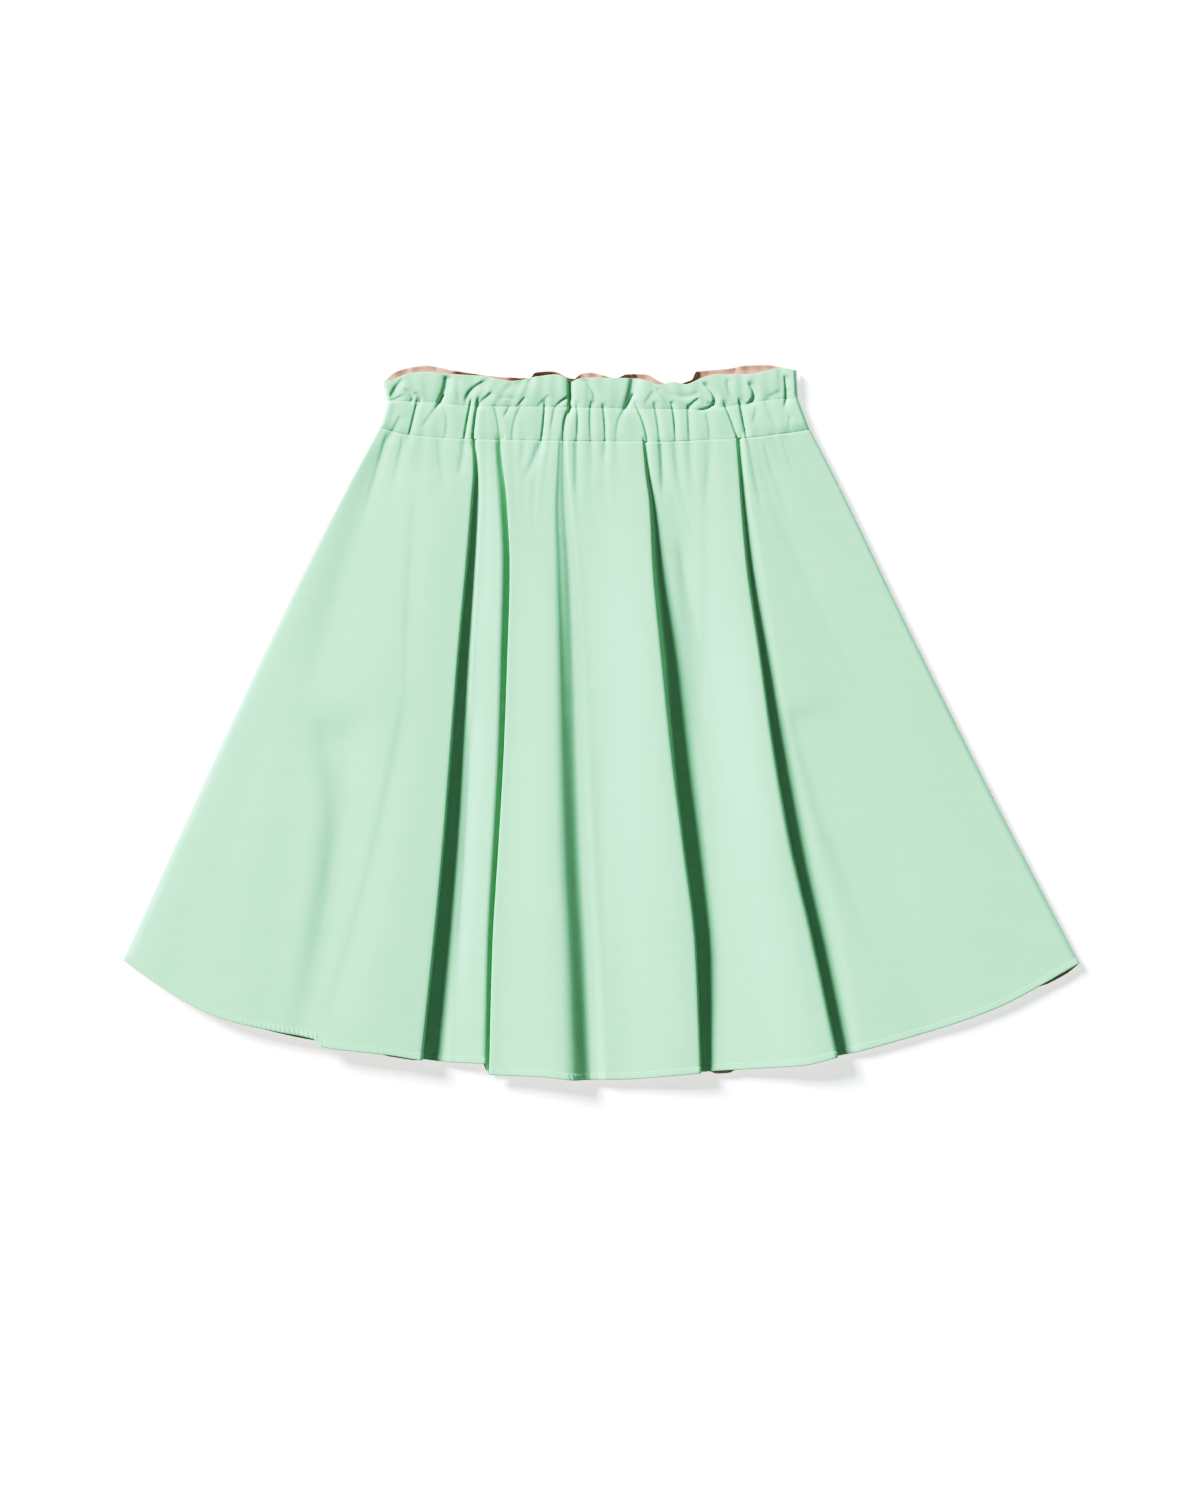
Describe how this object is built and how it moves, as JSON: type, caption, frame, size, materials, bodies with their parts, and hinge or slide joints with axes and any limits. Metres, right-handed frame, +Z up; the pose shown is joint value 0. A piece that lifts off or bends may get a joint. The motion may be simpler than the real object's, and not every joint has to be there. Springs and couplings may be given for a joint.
{
  "type": "gathered skirt",
  "caption": "Flared two-layer skirt laid flat, with deep folds, an elasticated cased waist and a free paper-bag ruffle above it.",
  "frame": {"origin": "bottom centre of the whole skirt as it lies flat", "axes": "+X across the skirt from the wearer's right side to the left, +Y from the hem to the waist, +Z up from the surface it lies on, out of the skirt's front"},
  "size_m": [0.5916, 0.4425, 0.0146],
  "materials": {
    "mint_cotton": "plain-woven cotton in pale mint green, fine even weave, matt with a faint sheen",
    "rose_cotton": "plain-woven cotton in dusty rose, fine even weave, matt"
  },
  "bodies": {
    "root": {"skirt_front": "mint_cotton", "skirt_back": "mint_cotton", "lining_front": "rose_cotton", "lining_back": "rose_cotton", "waistband_front": "mint_cotton", "waistband_back": "mint_cotton", "waistband_facing": "rose_cotton"}
  },
  "joints": []
}
